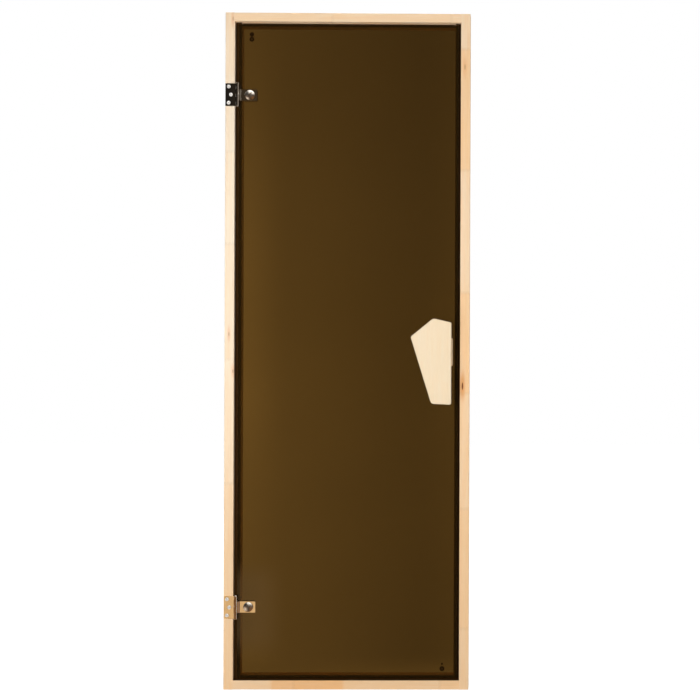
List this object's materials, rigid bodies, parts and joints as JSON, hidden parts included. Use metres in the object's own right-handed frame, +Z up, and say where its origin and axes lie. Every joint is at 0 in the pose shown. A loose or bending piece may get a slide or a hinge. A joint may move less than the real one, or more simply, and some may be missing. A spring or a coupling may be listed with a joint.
{
  "type": "sauna door",
  "caption": "Bronze glass sauna door with a pale rebated softwood frame, surface clamp hinges and five-sided wooden grips on both faces.",
  "frame": {"origin": "middle of the threshold's underside, at mid-depth of the frame", "axes": "+Z up, +X to the right seen from the outside, +Y from the outside into the sauna"},
  "size_m": [0.68, 0.111, 1.88],
  "materials": {
    "frame_wood": "fine sanded pale softwood",
    "handle_wood": "fine sanded pale softwood",
    "bronze_glass": "clear bronze tempered glass",
    "chrome": "mirror polished",
    "screw_steel": "polished",
    "rubber": "matt"
  },
  "bodies": {
    "frame": {"hinge_jamb": "frame_wood", "latch_jamb": "frame_wood", "head_rail": "frame_wood", "threshold": "frame_wood", "hinge_side_seal": "rubber", "latch_side_seal": "rubber", "head_seal": "rubber", "threshold_seal": "rubber", "upper_frame_plate": "chrome", "upper_plate_screws": "screw_steel", "upper_hinge_pin": "chrome", "lower_frame_plate": "chrome", "lower_plate_screws": "screw_steel", "lower_hinge_pin": "chrome"},
    "leaf": {"glass_leaf": "bronze_glass", "upper_clamp_plate": "chrome", "upper_front_gasket": "rubber", "upper_back_gasket": "rubber", "upper_back_plate": "chrome", "upper_clamp_bolt": "chrome", "lower_clamp_plate": "chrome", "lower_front_gasket": "rubber", "lower_back_gasket": "rubber", "lower_back_plate": "chrome", "lower_clamp_bolt": "chrome", "outer_grip": "handle_wood", "outer_standoff": "handle_wood", "outer_pad": "rubber", "inner_pad": "rubber", "inner_standoff": "handle_wood", "inner_grip": "handle_wood", "handle_bolts": "screw_steel"}
  },
  "joints": [
    {"name": "leaf_swing", "type": "hinge", "parent": "frame", "child": "leaf", "pos_m": [-0.306, -0.0285, 0.94], "axis": [0, 0, -1], "range_deg": [0, 120]}
  ]
}
